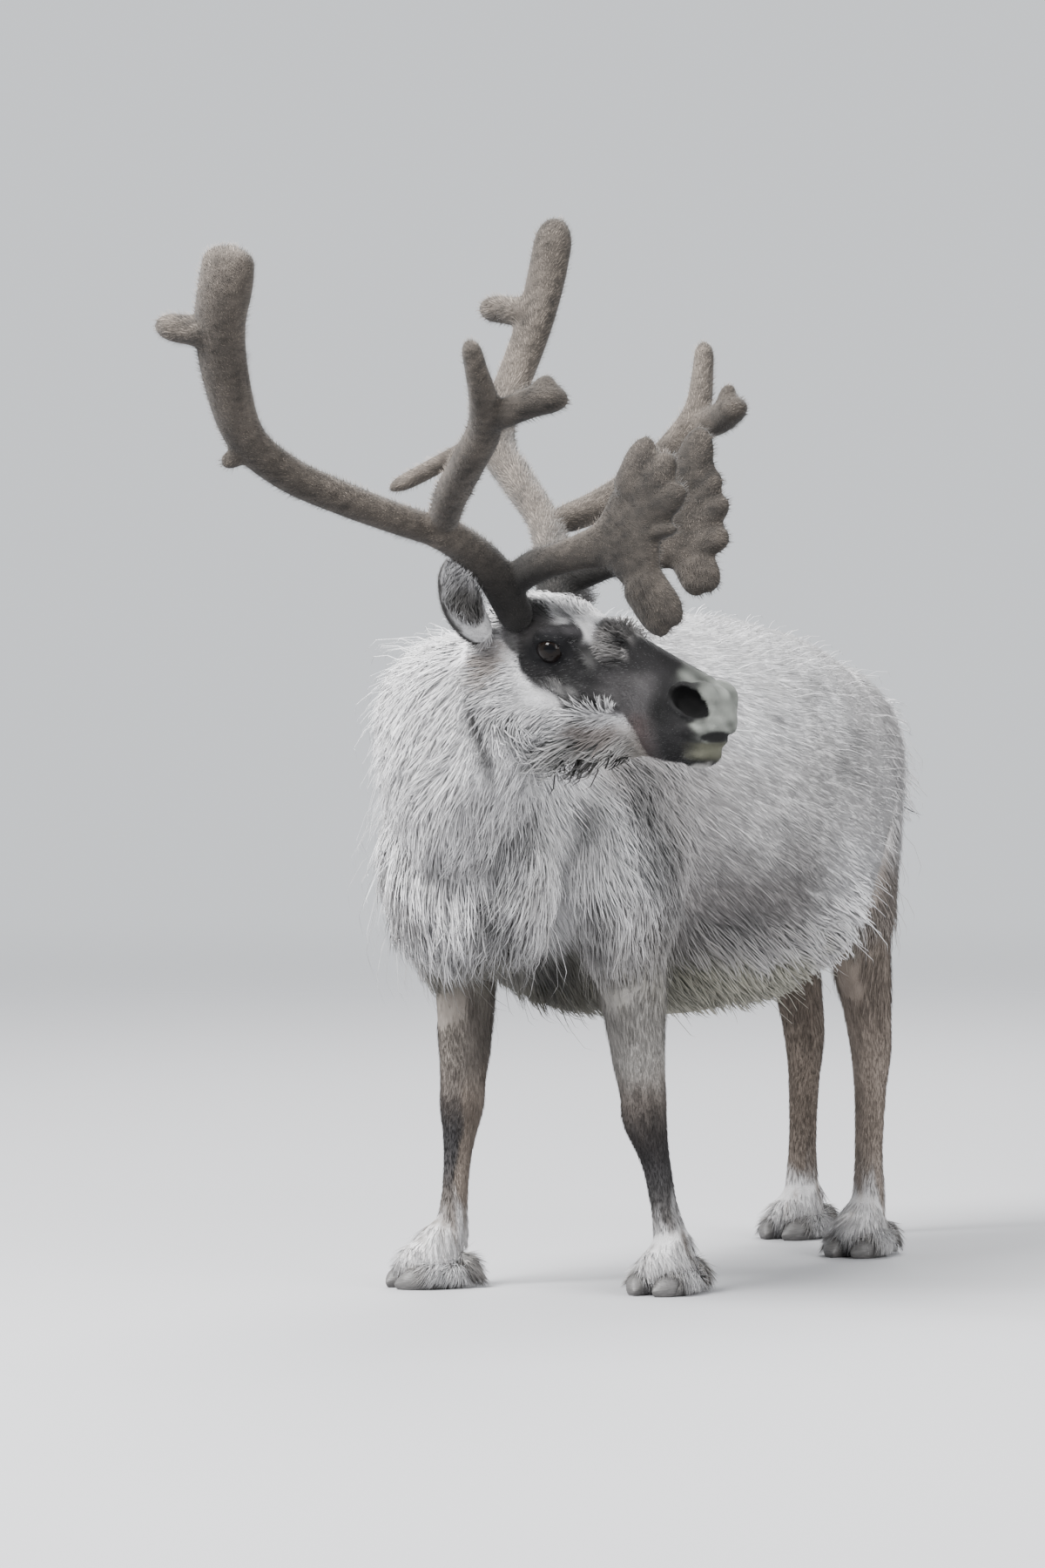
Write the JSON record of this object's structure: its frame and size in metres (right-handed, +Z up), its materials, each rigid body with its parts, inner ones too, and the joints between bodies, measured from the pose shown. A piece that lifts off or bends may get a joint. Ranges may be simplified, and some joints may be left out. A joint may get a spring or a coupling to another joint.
{
  "type": "reindeer",
  "caption": "Life-size standing reindeer in summer coat, head turned to its left, with branching antlers in velvet and brow palms.",
  "frame": {"origin": "on the floor, under the centre of the whole animal's bounding box", "axes": "+Z up; the body faces -Y, its left side is towards +X; the head is turned to face about +X"},
  "size_m": [0.6772, 1.746, 1.316],
  "materials": {
    "pale_coat": "long whitish hair",
    "grey_coat": "whitish-grey summer coat, darker low on the flank",
    "leg_coat": "short charcoal-brown hair",
    "face_coat": "short charcoal hair with pale patches",
    "ear_coat": "short pale hair with a dark rim",
    "antler_velvet": "dense taupe velvet",
    "hoof_horn": "dark grey horn",
    "eye_surface": "wet, glossy, nearly black"
  },
  "bodies": {
    "root": {"antler_left_base": "antler_velvet", "antler_left_beam": "antler_velvet", "antler_left_bez": "antler_velvet", "antler_left_brow": "antler_velvet", "antler_right_base": "antler_velvet", "antler_right_beam": "antler_velvet", "antler_right_bez": "antler_velvet", "antler_right_brow": "antler_velvet", "ear_left": "ear_coat", "ear_right": "ear_coat", "eye_left": "eye_surface", "eye_right": "eye_surface", "foreleg_left_dewclaw_left": "hoof_horn", "foreleg_left_dewclaw_right": "hoof_horn", "foreleg_left_foot": "pale_coat", "foreleg_left_hoof_left": "hoof_horn", "foreleg_left_hoof_right": "hoof_horn", "foreleg_left_lower": "leg_coat", "foreleg_left_upper": "leg_coat", "foreleg_right_dewclaw_left": "hoof_horn", "foreleg_right_dewclaw_right": "hoof_horn", "foreleg_right_foot": "pale_coat", "foreleg_right_hoof_left": "hoof_horn", "foreleg_right_hoof_right": "hoof_horn", "foreleg_right_lower": "leg_coat", "foreleg_right_upper": "leg_coat", "head": "face_coat", "hindleg_left_dewclaw_left": "hoof_horn", "hindleg_left_dewclaw_right": "hoof_horn", "hindleg_left_foot": "pale_coat", "hindleg_left_hoof_left": "hoof_horn", "hindleg_left_hoof_right": "hoof_horn", "hindleg_left_lower": "leg_coat", "hindleg_left_upper": "leg_coat", "hindleg_right_dewclaw_left": "hoof_horn", "hindleg_right_dewclaw_right": "hoof_horn", "hindleg_right_foot": "pale_coat", "hindleg_right_hoof_left": "hoof_horn", "hindleg_right_hoof_right": "hoof_horn", "hindleg_right_lower": "leg_coat", "hindleg_right_upper": "leg_coat", "neck": "pale_coat", "tail": "pale_coat", "torso": "grey_coat"}
  },
  "joints": []
}
